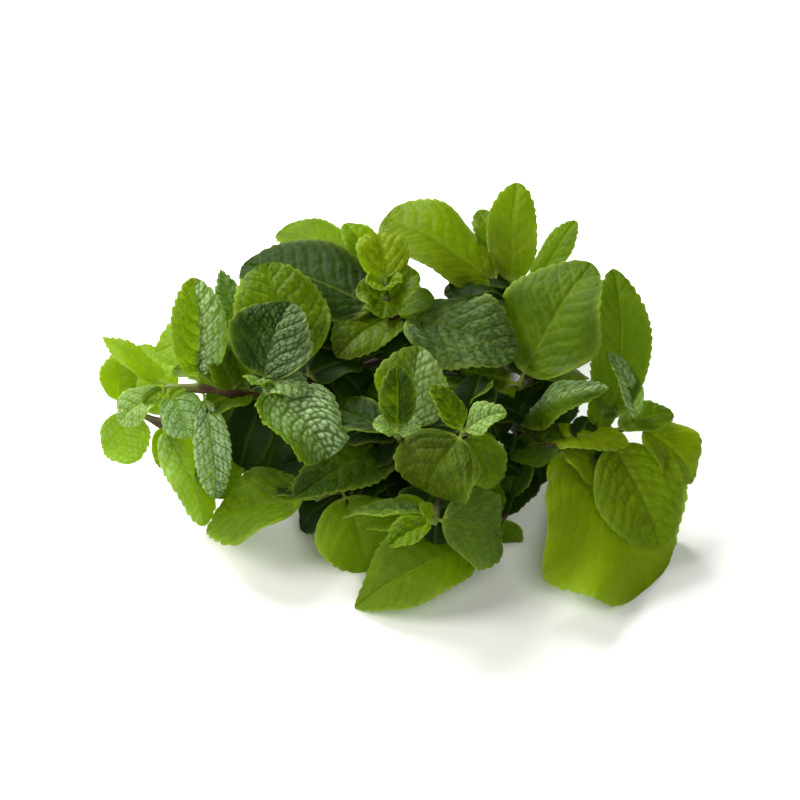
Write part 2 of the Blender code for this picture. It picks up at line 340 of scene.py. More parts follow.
def leafSection(one, grid, wobble):
    # the slope of the cross-section grows from the fold at the midrib to the rolled margins
    s, q, offRib, rightSide = grid.s, grid.q, grid.offRib, grid.rightSide
    lips = np.where(rightSide, one["lipRight"], one["lipLeft"])
    slope = one["fold"] * (1 - blade["cupping"] * offRib) + one["curl"] * ease((offRib - 0.2) / 0.8)
    slope = np.radians(slope + lips * ease((offRib - 0.5) / 0.4) * ease(s * 4) * ease((1 - s) * 4))
    cols = q.shape[1]
    step = 2 / (cols - 1)
    outX = np.cumsum(np.cos(slope) * step, 1)
    rightZ = np.cumsum(np.sin(slope) * step, 1)
    leftZ = np.cumsum((np.sin(slope) * step)[:, ::-1], 1)[:, ::-1]
    rib = slice(cols // 2, cols // 2 + 1)
    flatZ = np.where(rightSide, rightZ - rightZ[:, rib], leftZ - leftZ[:, rib])
    across = (outX - outX[:, rib]) * grid.half + np.sign(q) * np.cos(slope) * grid.outward

    ripple = np.sin(s * grid.length / 5.2 + wobble[1] + 1.3 * q) * ease(s * 5)
    wave = np.sin(s * 8.5 + wobble[2] + 2.4 * rightSide) * offRib
    lift = flatZ * grid.half + np.sin(slope) * grid.outward
    lift = lift + grid.away * blade["ripple"] * ripple
    lift = lift + blade["wave"] * grid.away * wave
    drop = one["droop"] * grid.length * blade["dropAtTip"]
    lift = lift - drop * ease((s - 0.5) / 0.5) ** 2 * grid.isBlade
    return slope, across, lift


def leafShape(one, root, seed):
    # the upper and the lower face of a leaf, and what its material needs to know at each point
    length, chord, side, up = leafFrame(one, root)
    rng = np.random.default_rng(seed)
    wobble = rng.uniform(0, 2 * math.pi, 8)    # where the small waves of the leaf start
    twistDrift, sweepDrift = rng.uniform(-1, 1, 2)
    grid = leafGrid(one, length, wobble)
    veins = leafVeins(one, grid, wobble, seed)
    slope, across, lift = leafSection(one, grid, wobble)

    # the midrib is an arc from root to tip, and the blade turns and bows along it
    bend = math.radians(one["bend"])
    radius = length / (2 * math.sin(bend / 2))
    turn = (bend * (grid.along - 0.5))[..., None]
    ahead = np.cos(turn) * chord - np.sin(turn) * up
    spine = root + radius * (np.sin(turn) + math.sin(bend / 2)) * chord
    spine = spine + radius * (np.cos(turn) - math.cos(bend / 2)) * up
    twist = np.radians((one["twist"] + blade["twistDrift"] * twistDrift) * (grid.along - 0.3))[..., None]
    normal = np.cross(ahead, side)
    sideNow = np.cos(twist) * side + np.sin(twist) * normal
    upNow = np.cos(twist) * normal - np.sin(twist) * side
    sweep = (one["sweep"] + blade["sweepDrift"] * sweepDrift) * length * np.sin(math.pi * grid.along)
    outUp = upNow * np.cos(slope)[..., None] - sideNow * (np.sign(grid.q) * np.sin(slope))[..., None]
    surface = spine + sideNow * (across + sweep)[..., None] + upNow * lift[..., None]
    surface = surface + outUp * veins.relief[..., None]

    # thin at the edge, thick at the stalk, with ribs below
    stalkThick = blade["stalkThick"] * np.sqrt(np.maximum(0.05, 1 - 0.95 * grid.q ** 2))
    nearStalk = (1 - ease(grid.s * 9)) * np.exp(-(grid.away / 0.7) ** 2)
    bladeThick = blade["thick"] * (1 - 0.5 * grid.offRib ** 3) * (0.8 + 0.2 * grid.size)
    thick = bladeThick + (blade["stalkThick"] - bladeThick) * nearStalk
    thick = np.where(grid.isBlade, thick, stalkThick)
    midrib = blade["ribHeight"] * np.exp(-(grid.away / 0.5) ** 2) * (1 - grid.s) * grid.size
    rib = midrib + 0.15 * one["quilt"] * veins.side
    top = surface + outUp * (thick / 2)[..., None]
    low = surface - outUp * (thick / 2 + rib * grid.isBlade)[..., None]
    return top, low, leafLooks(one, grid, veins)


def leafLooks(one, grid, veins):
    # each look has one value for every point of the upper face and then of the lower one
    # painted sheen: whitish colour on the crowns of the quilting, stronger on one half when a side is
    # given
    frost = one["frost"] * (0.1 + 1.1 * veins.bulge ** 2) * (1 - 0.5 * veins.pale) * grid.isBlade
    if one["frostSide"]:
        frost = frost * ease(0.6 + 1.3 * one["frostSide"] * grid.q)
    none = np.zeros(grid.q.shape)
    looks = {
        "paleVein": np.stack([veins.pale, np.maximum(veins.pale, 0.5 * veins.side)]) * grid.isBlade,
        "darkVeinAndGrooveShade": np.stack([veins.dark * grid.isBlade, none]),
        "under": np.stack([none, none + 1]),
        "rim": np.stack([one["rim"] * grid.offRib ** 14 * grid.isBlade] * 2),
        "stalk": np.stack([1 - grid.isBlade * ease(grid.s * 12)] * 2),
        "paintedLightCrown": np.stack([veins.bulge] * 2),
        "frost": np.stack([frost, none]),
    }
    for key in ("tone", "warm", "bloom"):
        looks[key] = np.stack([none + one[key]] * 2)
    return looks


def shellFaces(rows, cols, start):
    # both faces of a blade and the rim between them
    index = np.arange(rows * cols).reshape(rows, cols) + start
    a, b, c, d = index[:-1, :-1], index[:-1, 1:], index[1:, 1:], index[1:, :-1]
    topFaces = np.stack([a, d, c, b], -1).reshape(-1, 4)
    lowFaces = np.stack([a, b, c, d], -1).reshape(-1, 4) + rows * cols
    ring = np.concatenate([index[0, :-1], index[:-1, -1], index[-1, :0:-1], index[:0:-1, 0]])
    ringLow = ring + rows * cols
    rimFaces = np.stack([ring, np.roll(ring, -1), np.roll(ringLow, -1), ringLow], -1)
    return np.concatenate([topFaces, lowFaces, rimFaces])


def finishObject(name, mesh, looks, material):
    mesh.polygons.foreach_set("use_smooth", np.ones(len(mesh.polygons), bool))
    for key, values in looks.items():
        attribute = mesh.attributes.new(key, "FLOAT", "POINT")
        attribute.data.foreach_set("value", values.astype(np.float32))
    mesh.materials.append(material)
    made = bpy.data.objects.new(name, mesh)
    bpy.context.scene.collection.objects.link(made)
    return made


def leavesObject(name, points, faces, looks):
    mesh = bpy.data.meshes.new(name)
    mesh.vertices.add(len(points))
    mesh.vertices.foreach_set("co", (points * mm).astype(np.float32).ravel())
    mesh.loops.add(faces.size)
    mesh.loops.foreach_set("vertex_index", faces.astype(np.int32).ravel())
    mesh.polygons.add(len(faces))
    mesh.polygons.foreach_set("loop_start", (np.arange(len(faces)) * 4).astype(np.int32))
    mesh.update(calc_edges=True)
    return finishObject(name, mesh, looks, leafSkin)


stalk = {
    "halfBase": 1.6,          # mm, half the square's side at the cut end
    "halfTip": 0.8,
    "pathSteps": 48,          # even steps that the leaves' places are measured on
    "curveSteps": 24,         # between two given points, before the steps are made even
    "rings": 90,
    "sides": 16,
    "smoothing": 4,           # rounds
    "squareness": 5,          # 2 is round
    "groove": 0.1,            # depth of the hollow in each side, as a share of the half side
    "nodeSwell": 0.35,        # where leaves grow
    "nodeLength": 0.018,      # share of the stem
}


def smoothPath(points):
    # evenly spaced points on a smooth curve through the given ones
    p = np.array(points, float) + setDown
    p = np.vstack([2 * p[0] - p[1], p, 2 * p[-1] - p[-2]])
    t = (np.arange(stalk["curveSteps"]) / stalk["curveSteps"])[:, None]
    fine = []
    for a, b, c, d in zip(p, p[1:], p[2:], p[3:]):
        slope, curve, swing = c - a, 2 * a - 5 * b + 4 * c - d, 3 * b - a - 3 * c + d
        fine.append(0.5 * (2 * b + slope * t + curve * t ** 2 + swing * t ** 3))
    fine = np.vstack([*fine, p[-2:-1]])
    reach = np.concatenate([[0], np.cumsum(np.linalg.norm(np.diff(fine, axis=0), axis=1))])
    return alongPath(fine, reach, np.linspace(0, reach[-1], stalk["pathSteps"] + 1))


def alongPath(path, reach, goal):
    return np.stack([np.interp(goal, reach, path[:, k]) for k in range(3)], 1)


def onPath(path, share):
    place = min(share, 1) * (len(path) - 1)
    k = min(int(place), len(path) - 2)
    return path[k] + (path[k + 1] - path[k]) * (place - k)


def stalkRings(path, nodes):
    # rings of a grooved square, thinner towards the tip and swollen where leaves grow
    rings, sides = stalk["rings"], stalk["sides"]
    fine = alongPath(path, np.linspace(0, 1, len(path)), np.linspace(0, 1, rings))
    for _ in range(stalk["smoothing"]):
        fine[1:-1] = (fine[:-2] + 2 * fine[1:-1] + fine[2:]) / 4
    across = np.cross((0, 0, 1), fine[1] - fine[0])
    angle = np.arange(sides) * 2 * math.pi / sides
    power = stalk["squareness"]
    square = 1 / (np.abs(np.cos(angle)) ** power + np.abs(np.sin(angle)) ** power) ** (1 / power)
    square = square * (1 - stalk["groove"] * np.cos(4 * angle))
    points = []
    for k in range(rings):
        ahead = fine[min(k + 1, rings - 1)] - fine[max(k - 1, 0)]
        ahead = ahead / np.linalg.norm(ahead)
        across = across - across.dot(ahead) * ahead
        across = across / np.linalg.norm(across)
        upward = np.cross(ahead, across)
        share = k / (rings - 1)
        half = stalk["halfBase"] + (stalk["halfTip"] - stalk["halfBase"]) * share
        for node in nodes:
            near = math.exp(-((share - node) / stalk["nodeLength"]) ** 2)
            half = half * (1 + stalk["nodeSwell"] * near)
        ring = np.cos(angle)[:, None] * across + np.sin(angle)[:, None] * upward
        points.append(fine[k] + ring * (half * square)[:, None])
    return np.vstack([*points, fine[:1], fine[-1:]])


def stalkObject(name, path, nodes):
    points = stalkRings(path, nodes)
    rings, sides = stalk["rings"], stalk["sides"]
    index = np.arange(rings * sides).reshape(rings, sides)
    turned = np.roll(index, -1, axis=1)
    walls = np.stack([index[:-1], turned[:-1], turned[1:], index[1:]], -1).reshape(-1, 4)
    faces = walls.tolist()
    cutEnd, tip = len(points) - 2, len(points) - 1
    for j in range(sides):
        faces.append([int(turned[0, j]), int(index[0, j]), cutEnd])
        faces.append([int(index[-1, j]), int(turned[-1, j]), tip])
    mesh = bpy.data.meshes.new(name)
    mesh.from_pydata((points * mm).tolist(), [], faces)
    grown = np.concatenate([np.repeat(np.linspace(0, 1, rings), sides), [0, 1]])
    return finishObject(name, mesh, {"grown": grown}, stalkSkin)


def nodeOf(tree, kind, **sockets):
    made = tree.nodes.new("ShaderNode" + kind)
    for key, value in sockets.items():
        made.inputs[key].default_value = value
    return made


def feed(tree, value, socket):
    # another node's output, a colour or a number
    if hasattr(value, "links"):
        tree.links.new(value, socket)
    elif isinstance(value, tuple):
        socket.default_value = (*value, 1)
    else:
        socket.default_value = value


def attributeOf(tree, name):
    made = tree.nodes.new("ShaderNodeAttribute")
    made.attribute_name = name
    return made.outputs["Fac"]


def blendColour(tree, share, first, second):
    made = tree.nodes.new("ShaderNodeMix")
    made.data_type = "RGBA"
    feed(tree, share, made.inputs[0])
    feed(tree, first, made.inputs[6])
    feed(tree, second, made.inputs[7])
    return made.outputs[2]


def compute(tree, kind, *values, clamp=False):
    made = tree.nodes.new("ShaderNodeMath")
    made.operation = kind
    made.use_clamp = clamp
    for value, socket in zip(values, made.inputs):
        feed(tree, value, socket)
    return made.outputs[0]


def layOver(tree, ground, layers, looks):
    for name, (share, colour) in layers.items():
        amount = compute(tree, "MULTIPLY", looks[name], share)
        ground = blendColour(tree, amount, ground, colour)
    return ground


leafFinish = {
    # darkest green, also the painted shade of leaves deep in the bunch
    "deepGreenAndShade": (0.009, 0.030, 0.001),
    "fresh": (0.138, 0.220, 0.002),
    # yellower green, partly the leaf's own and partly painted glow of light coming through
    "goldAndPaintedGlow": (0.30, 0.36, 0.003),
    "cool": (0.045, 0.105, 0.022),
    # share and colour of what lies over the green, in this order
    "overGreen": {
        # dark veins: their own colour in part, and painted shade in the grooves
        "darkVeinAndGrooveShade": (0.75, (0.010, 0.030, 0.001)),
        "paleVein": (0.6, (0.27, 0.37, 0.04)),
        "rim": (0.8, (0.27, 0.37, 0.04)),
        # painted sheen, whitish, on the crowns of the quilting
        "frost": (1, (0.50, 0.70, 0.35)),
        "under": (0.7, (0.15, 0.21, 0.012)),
        "stalk": (1, (0.30, 0.40, 0.06)),
    },
    "glow": (0.64, 0.84, 0.006),        # of light that comes through
    "coolGlow": (0.36, 0.62, 0.04),
    "overGlow": {
        "darkVeinAndGrooveShade": (0.4, (0.138, 0.220, 0.002)),
        # the painted sheen also tints the light that comes through
        "frost": (0.8, (0.50, 0.70, 0.35)),
    },
    "glowShare": 0.45,
    "glowBelow": 0.2,         # more of it on the lower face
    "darkGlow": (-0.9, 0.15),           # how dark tones and painted shade dim it: slope and start
    "coolBelow": 0.6,         # of warm
    "paintedGlowAbove": 1.0,
    "blotchScale": 130,       # per m
    "blotchDepth": 1.2,
    "blotchMiddle": 0.22,
    # painted light: crowns of the quilting lighter, valleys darker
    "paintedCrownLight": 0.26,
    "netScale": 680,
    "netLine": 5.0,           # more is a thinner line
    "netDepth": 0.10,         # how much darker the lines of the fine net are
    "grainScale": 1900,
    "grainHeight": 0.5,       # of the net's height
    "bumpStrength": 0.45,
    "bumpHeight": 0.00022,    # m
    "specular": 0.11,
    "roughness": 0.50,
    "roughBelow": 0.25,       # more of it on the lower face
    "bloomGloss": 0.18,       # less of it where the leaf shines
}


def leafLight(tree, looks, blotch, net):
    # how light the leaf is: its own tone and painted shade, soft blotches, the fine net and painted light
    # on the crowns of the quilting
    finish = leafFinish
    light = compute(tree, "SUBTRACT", blotch, finish["blotchMiddle"])
    light = compute(tree, "MULTIPLY", light, finish["blotchDepth"])
    light = compute(tree, "ADD", light, compute(tree, "SUBTRACT", looks["tone"], finish["netDepth"] / 2))
    light = compute(tree, "MULTIPLY_ADD", net, finish["netDepth"], light)
    return compute(tree, "MULTIPLY_ADD", looks["paintedLightCrown"], finish["paintedCrownLight"], light, clamp=True)


def leafMaterial():
    material, tree, shader = freshMaterial("mintLeaf")
    finish = leafFinish
    names = ("tone", "warm", "bloom", "paintedLightCrown", *finish["overGreen"])
    looks = {name: attributeOf(tree, name) for name in names}
    where = tree.nodes.new("ShaderNodeTexCoord").outputs["Object"]
    blotch = nodeOf(tree, "TexNoise", Scale=finish["blotchScale"], Detail=4.0, Roughness=0.6)
    grain = nodeOf(tree, "TexNoise", Scale=finish["grainScale"], Detail=3.0, Roughness=0.7)
    net = nodeOf(tree, "TexVoronoi", Scale=finish["netScale"])
    net.feature = "DISTANCE_TO_EDGE"
    for pattern in (blotch, grain, net):
        feed(tree, where, pattern.inputs["Vector"])
    netHeight = compute(tree, "MULTIPLY", net.outputs["Distance"], finish["netLine"], clamp=True)

    light = leafLight(tree, looks, blotch.outputs["Fac"], netHeight)
    coolShare = compute(tree, "SUBTRACT", finish["coolBelow"], looks["warm"], clamp=True)
    paintedGlowShare = compute(tree, "SUBTRACT", looks["warm"], finish["paintedGlowAbove"], clamp=True)
    green = blendColour(tree, light, finish["deepGreenAndShade"], finish["fresh"])
    green = blendColour(tree, coolShare, green, finish["cool"])
    green = blendColour(tree, paintedGlowShare, green, finish["goldAndPaintedGlow"])
    green = layOver(tree, green, finish["overGreen"], looks)
    feed(tree, green, shader.inputs["Base Color"])

    rough = compute(tree, "MULTIPLY_ADD", looks["under"], finish["roughBelow"], finish["roughness"])
    rough = compute(tree, "MULTIPLY_ADD", looks["bloom"], -finish["bloomGloss"], rough)
    feed(tree, rough, shader.inputs["Roughness"])
    shader.inputs["Specular IOR Level"].default_value = finish["specular"]
    height = compute(tree, "MULTIPLY_ADD", grain.outputs["Fac"], finish["grainHeight"], netHeight)
    bump = nodeOf(tree, "Bump", Strength=finish["bumpStrength"], Distance=finish["bumpHeight"])
    feed(tree, height, bump.inputs["Height"])
    feed(tree, bump.outputs["Normal"], shader.inputs["Normal"])

    # thin tissue lets light through, less of it where the leaf is dark or darkened with painted shade
    glow = tree.nodes.new("ShaderNodeBsdfTranslucent")
    darkShare = compute(tree, "MULTIPLY_ADD", looks["tone"], *finish["darkGlow"], clamp=True)
    through = blendColour(tree, coolShare, finish["glow"], finish["coolGlow"])
    through = blendColour(tree, darkShare, through, finish["fresh"])
    through = layOver(tree, through, finish["overGlow"], looks)
    feed(tree, through, glow.inputs["Color"])
    glowShare = compute(tree, "MULTIPLY_ADD", looks["under"], finish["glowBelow"], finish["glowShare"])
    blend = tree.nodes.new("ShaderNodeMixShader")
    feed(tree, glowShare, blend.inputs[0])
    feed(tree, shader.outputs[0], blend.inputs[1])
    feed(tree, glow.outputs[0], blend.inputs[2])
    feed(tree, blend.outputs[0], tree.nodes["Material Output"].inputs["Surface"])
    return material


stalkFinish = {
    "base": (0.030, 0.011, 0.006),
    "middle": (0.045, 0.019, 0.009),
    "tip": (0.12, 0.16, 0.03),
    "middlePlace": 0.9,       # share of the stem
    "patchScale": 260.0,      # per m
    "patchShift": (0.25, -0.12),        # how patches shift the colour along the stem: slope and start
    "roughness": 0.6,
    "specular": 0.2,
    "bumpStrength": 0.4,
    "bumpHeight": 0.0002,     # m
}


def stalkMaterial():
    material, tree, shader = freshMaterial("mintStem")
    finish = stalkFinish
    where = tree.nodes.new("ShaderNodeTexCoord").outputs["Object"]
    patch = nodeOf(tree, "TexNoise", Scale=finish["patchScale"], Detail=5.0, Roughness=0.65)
    feed(tree, where, patch.inputs["Vector"])
    ramp = tree.nodes.new("ShaderNodeValToRGB")
    ramp.color_ramp.elements[0].color = (*finish["base"], 1)
    ramp.color_ramp.elements[1].color = (*finish["tip"], 1)
    middle = ramp.color_ramp.elements.new(finish["middlePlace"])
    middle.color = (*finish["middle"], 1)
    shift = compute(tree, "MULTIPLY_ADD", patch.outputs["Fac"], *finish["patchShift"])
    feed(tree, compute(tree, "ADD", shift, attributeOf(tree, "grown"), clamp=True), ramp.inputs["Fac"])
    feed(tree, ramp.outputs["Color"], shader.inputs["Base Color"])
    shader.inputs["Roughness"].default_value = finish["roughness"]
    shader.inputs["Specular IOR Level"].default_value = finish["specular"]
    bump = nodeOf(tree, "Bump", Strength=finish["bumpStrength"], Distance=finish["bumpHeight"])
    feed(tree, patch.outputs["Fac"], bump.inputs["Height"])
    feed(tree, bump.outputs["Normal"], shader.inputs["Normal"])
    return material


leafSkin = leafMaterial()
stalkSkin = stalkMaterial()
print("leaf and stem materials are ready")
total = {"leaves": 0, "triangles": 0}


def growSprig(sprig):
    # one stem with all its leaves, in place of the node of that name
    name = sprig["name"]
    path = smoothPath(sprig["points"])
    points, faces, looks, start = [], [], {}, 0
    for number, one in enumerate(sprig["leaves"]):
        root = onPath(path, one["at"])
        seed = sum(ord(letter) for letter in name) * 31 + number * 7    # each leaf has its own
        top, low, shown = leafShape(one, root, seed)
        rows, cols = top.shape[:2]
        points += [top.reshape(-1, 3), low.reshape(-1, 3)]
        faces.append(shellFaces(rows, cols, start))
        for key, values in shown.items():
            looks.setdefault(key, []).append(values.ravel())
        start += 2 * rows * cols
    points, faces = np.vstack(points), np.vstack(faces)
    looks = {key: np.concatenate(values) for key, values in looks.items()}
    nodes = sorted({round(one["at"], 2) for one in sprig["leaves"]})
    leaves = leavesObject(name + "_leaves", points, faces, looks)
    stem = stalkObject(name + "_stalk", path, nodes)
    for piece in (leaves, stem):
        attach(piece, "root")
        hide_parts(name)
    total["leaves"] += len(sprig["leaves"])
    total["triangles"] += 2 * len(faces)
    print(name, "has", len(sprig["leaves"]), "leaves with", 2 * len(faces), "triangles")


growSprig({
    "name": "left_front_stem",
    "points": [(37, 78, 5.4), (17, 44, 22), (-18, 8, 38), (-52, -14, 46), (-70, -17, 51), (-83, -16, 50)],
    "leaves": [
        # stands up, with painted sheen on one half
        leaf(0.93, (-72, 4, 84), 22.5, roll=5, bend=10, fold=48, curl=-50, sweep=-0.05, detail=1.4,
             quilt=1.6, cell=1.7, tone=0.75, warm=1.0, bloom=1.0, frost=0.75, frostSide=-1),
        # narrow, hangs down
        leaf(0.92, (-66, -35, 12), 14, bend=20, fold=35, detail=1.4, quilt=1.7, cell=1.6, tone=0.2,
             bloom=0.8, frost=1.4),
        leaf(1.0, (-100, -25, 42), 16, bend=20, detail=1.4, quilt=1.5, cell=1.6, tone=1.0, warm=1.0,
             bloom=0.8, frost=0.55),
        # small and wrinkled, under the tip of the stem
        leaf(0.99, (-74, -27, 36), 17, bend=40, detail=1.5, quilt=1.9, cell=1.5, tone=0.3, warm=0.3,
             bloom=1.0, frost=1.35),
        # pointed, furthest to the left
        leaf(0.99, (-106, 1, 61), 11, bend=10, fold=25, sweep=0.05, blunt=0.9, quilt=0.3, tone=0.7,
             warm=0.9),
        leaf(0.8, (-60, 10, 58), 20, quilt=0.4, tone=0.2, warm=0.9),
        leaf(0.72, (-70, 14, 54), 18, quilt=0.4, tone=0.1, warm=0.8),
        leaf(0.86, (-72, -2, 66), 16, quilt=0.5, tone=-0.1, warm=0.8),
        paintedShadeLeaf(0.72, (-52, -22, 56), 14),
        leaf(1.0, (-90, -24, 50), 7, quilt=1.2, cell=1.5, tone=0.2),
        leaf(0.96, (-80, -26, 54), 6, quilt=1.2, cell=1.5, tone=0.1),
        paintedShadeLeaf(0.85, (-66, -8, 62), 14, tone=0.0),
        leaf(0.8, (-82, -4, 50), 15, tone=-0.1, warm=0.9),
        leaf(0.8, (-70, -20, 44), 15, tone=-0.3, warm=0.8),
        paintedShadeLeaf(0.78, (-58, -28, 22), 20),
        paintedShadeLeaf(0.62, (-38, 14, 58), 20),
        paintedShadeLeaf(0.62, (-40, -12, 24), 22),
    ],
})

growSprig({
    "name": "left_low_stem",
    "points": [(30, 76, 1.6), (4, 38, 9), (-40, 2, 20), (-72, -14, 26), (-103, -3, 30)],
    "leaves": [
        # round, low at the far left
        leaf(1.0, (-99.5, -13, 9), 19, bend=20, quilt=0.4, warm=1.0, frost=0.25),
        leaf(1.0, (-102, 9, 46), 14, tone=0.3, warm=0.9),
        leaf(0.89, (-97.5, 27, 36), 20, tone=0.2),
        # long, hangs down to the table
        leaf(0.9, (-69.5, -38, 3), 20, fold=42, quilt=0.3, tone=0.5, warm=0.8, pale=0.3, frost=0.45,
             frostSide=-1),
        leaf(0.78, (-64, -30, 8), 18, tone=-0.4),
        leaf(0.7, (-66, -5, 33), 20, tone=-0.7),
        paintedShadeLeaf(0.62, (-50, -28, 10), 22),
        paintedShadeLeaf(0.62, (-62, 10, 38), 20),
        paintedShadeLeaf(0.9, (-83, -22, 14), 12, tone=0.1),
    ],
})

growSprig({
    "name": "left_broad_stem",
    "points": [(46, 80, 5.4), (13, 34, 32), (-18, -4, 52), (-38, -24, 60), (-47, -28, 62)],
    "leaves": [
        # broad, with curled lips, its gloss partly painted sheen
        leaf(1.0, (-23, -55, 54), 32, bend=50, fold=12, lipLeft=60, lipRight=-30, blunt=0.42, tooth=2.0,
             detail=1.4, quilt=1.3, cell=2.0, tone=-0.15, warm=0.4, bloom=0.4, frost=1.0, frostSide=0.45),
        # dark and wrinkled, stands up
        leaf(1.0, (-38, -9, 84), 32, fold=22, sweep=0.02, detail=1.5, quilt=1.8, cell=1.8, tone=-0.45,
             warm=0.5, bloom=0.4, frost=0.3, frostSide=-1),
        leaf(1.0, (-32, -37, 68), 15, detail=1.4, quilt=1.4, cell=1.6, bloom=1.0, frost=0.45),
        leaf(1.0, (-50, -36, 71), 11, detail=1.4, quilt=1.3, cell=1.5, bloom=1.0, frost=0.3),
        # large, lit from behind
        leaf(0.92, (-48, 11, 86), 34, bend=20, quilt=1.4, tone=0.1, warm=0.9),
        leaf(0.62, (-22, 8, 58), 18, tone=-0.7),
        paintedShadeLeaf(0.8, (-24, 6, 70), 18),
        paintedShadeLeaf(0.78, (-38, 0, 48), 20),
        paintedShadeLeaf(0.8, (-12, -16, 44), 20),
        paintedShadeLeaf(0.5, (-14, 26, 56), 24),
        paintedShadeLeaf(0.55, (-28, -2, 62), 20),
        paintedShadeLeaf(0.4, (0, 14, 60), 20),
        paintedShadeLeaf(0.55, (-36, -8, 66), 22),
        paintedShadeLeaf(0.7, (-38, 4, 66), 18),
        paintedShadeLeaf(0.45, (-26, -14, 62), 24),
        paintedShadeLeaf(0.9, (-13, -11, 60), 19, tone=-0.9),
    ],
})

growSprig({
    "name": "left_back_stem",
    "points": [(32, 79, 5.4), (2, 52, 22), (-34, 26, 36), (-60, 12, 48)],
    "leaves": [
        # grey and pointed
        leaf(1.0, (-65, 26, 71), 13, blunt=1.0, quilt=1.2, tone=-0.3, warm=0.1, frost=0.25),
        leaf(1.0, (-90, 8, 47), 24, tone=0.5, warm=0.8),
        paintedShadeLeaf(0.5, (-4, 14, 30), 26, tone=-1.0),
        paintedShadeLeaf(0.8, (-22, -6, 32), 26, tone=-1.0),
    ],
})

growSprig({
    "name": "top_back_stem",
    "points": [(35, 83, 9.2), (22, 50, 28), (4, 30, 46), (-10, 36, 63)],
    "leaves": [
        leaf(1.0, (-20, 49, 75), 14, tone=0.6, warm=0.5),
        # long and yellow-green, at the back
        leaf(1.0, (-45.5, 59, 66), 21, sweep=0.06, blunt=0.4, quilt=0.3, tone=-0.1, warm=1.0, bloom=-1.0),
    ],
})

growSprig({
    "name": "centre_left_stem",
    "points": [(41, 77, 1.6), (26, 36, 16), (8, -10, 34), (1, -42, 50), (-1, -52, 62)],
    "leaves": [
        # narrow, stands up in the middle
        leaf(1.0, (-1, -41, 82), 13, bend=5, fold=25, detail=1.4, quilt=1.8, cell=1.6, tone=-0.25),
        leaf(1.0, (-9, -51, 66), 9, quilt=1.2, cell=1.5, tone=0.2, bloom=1.0, frost=0.5),
        leaf(1.0, (7, -52, 66), 9, quilt=1.2, cell=1.5, tone=0.2, bloom=1.0, frost=0.5),
        # broad, behind it, pale from painted sheen on one half
        leaf(0.84, (6, -24, 76), 27, bend=15, fold=24, curl=-30, quilt=0.8, tone=0.1, frost=0.5,
             frostSide=-1),
        leaf(0.98, (-32, -21, 50), 17, bend=10, quilt=1.4, cell=1.8, tone=-0.5, bloom=0.3),
        leaf(0.8, (-26, 4, 44), 18, tone=-0.4),
        leaf(0.75, (-20, -24, 34), 18, tone=-1.0),
        paintedShadeLeaf(0.78, (-12, -28, 24), 20, tone=-1.0),
        paintedShadeLeaf(0.9, (11, -48, 50), 15),
        paintedShadeLeaf(0.92, (12, -34, 48), 14),
        paintedShadeLeaf(0.85, (18, -34, 42), 16),
        paintedShadeLeaf(0.62, (-8, 14, 56), 22),
    ],
})

growSprig({
    "name": "centre_right_stem",
    "points": [(52, 77, 1.6), (42, 34, 16), (30, -8, 38), (23, -42, 54), (21, -54, 64)],
    "leaves": [
        leaf(1.0, (11, -46, 78), 11, bend=10, fold=25, detail=1.4, quilt=1.8, cell=1.6, tone=0.05),
        # small and bright, partly from painted sheen
        leaf(1.0, (35, -53, 73), 13, fold=22, detail=1.3, quilt=1.1, cell=1.7, tone=0.2, bloom=1.0,
             frost=0.4),
        # broad, bends down to the front
        leaf(0.95, (8, -64, 45), 33, bend=55, fold=8, droop=0.25, blunt=0.42, tooth=0.8, detail=1.3,
             quilt=1.3, cell=1.7, tone=-0.3, warm=1.15, bloom=0.1),
        leaf(0.92, (32, -60, 44), 18, bend=40, tone=0.1, warm=0.8),
        leaf(0.78, (31, -29, 64), 12, tone=-0.3),
        leaf(0.62, (2, 4, 50), 20, tone=-0.4),
        leaf(0.75, (36, -10, 34), 16, tone=-0.7),
        paintedShadeLeaf(0.72, (44, -16, 38), 20),
        paintedShadeLeaf(0.7, (36, -24, 32), 22),
        paintedShadeLeaf(0.8, (26, -32, 52), 16),
        paintedShadeLeaf(0.85, (28, -22, 62), 16),
        paintedShadeLeaf(0.9, (34, -52, 36), 18, tone=-0.1),
        paintedShadeLeaf(0.92, (9, -36, 50), 15),
        paintedShadeLeaf(0.75, (20, -40, 40), 18),
        paintedShadeLeaf(0.6, (14, -14, 58), 20),
    ],
})

growSprig({
    "name": "front_stem",
    "points": [(46, 79, 1.6), (36, 24, 14), (22, -28, 24), (14, -56, 35), (11, -72, 40)],
    "leaves": [
        leaf(0.97, (-20, -65, 36), 12, roll=20, bend=10, fold=38, quilt=1.6, cell=1.6, tone=-0.1,
             bloom=0.3, frost=0.1),
        # small and bright, in front
        leaf(1.0, (-4, -81, 38), 13, fold=30, detail=1.4, quilt=1.8, cell=1.6, tone=0.1, warm=1.0,
             bloom=0.6),
        leaf(1.0, (7, -69, 46), 6, tone=0.2),
        leaf(0.96, (-12, -59, 26), 16),
        # broad, turned to the right
        leaf(0.99, (36, -61, 21), 28, roll=42, blunt=0.42, quilt=1.5, cell=1.9, warm=0.5, pale=0.8,
             frost=0.1),
        leaf(0.78, (1, -57, 18), 20, tone=-0.7),
        paintedShadeLeaf(0.78, (36, -50, 22), 20, tone=-0.1),
        paintedShadeLeaf(0.66, (44, -36, 28), 20),
        paintedShadeLeaf(0.66, (-14, -38, 14), 20),
        paintedShadeLeaf(0.9, (12, -66, 22), 14),
    ],
})

growSprig({
    "name": "front_low_stem",
    "points": [(63, 77, 1.6), (60, 36, 7), (50, -8, 12), (38, -42, 15), (30, -57, 17)],
    "leaves": [
        # large, lowest in front
        leaf(1.0, (-17, -76, 3.5), 31, roll=-8, bend=20, blunt=0.8, tooth=0.7, quilt=0.9, cell=1.8,
             tone=0.1, warm=1.1, pale=0.6),
        leaf(0.9, (36, -48, 4), 16, tone=-0.2),
        paintedShadeLeaf(0.7, (38, -46, 18), 15),
    ],
})

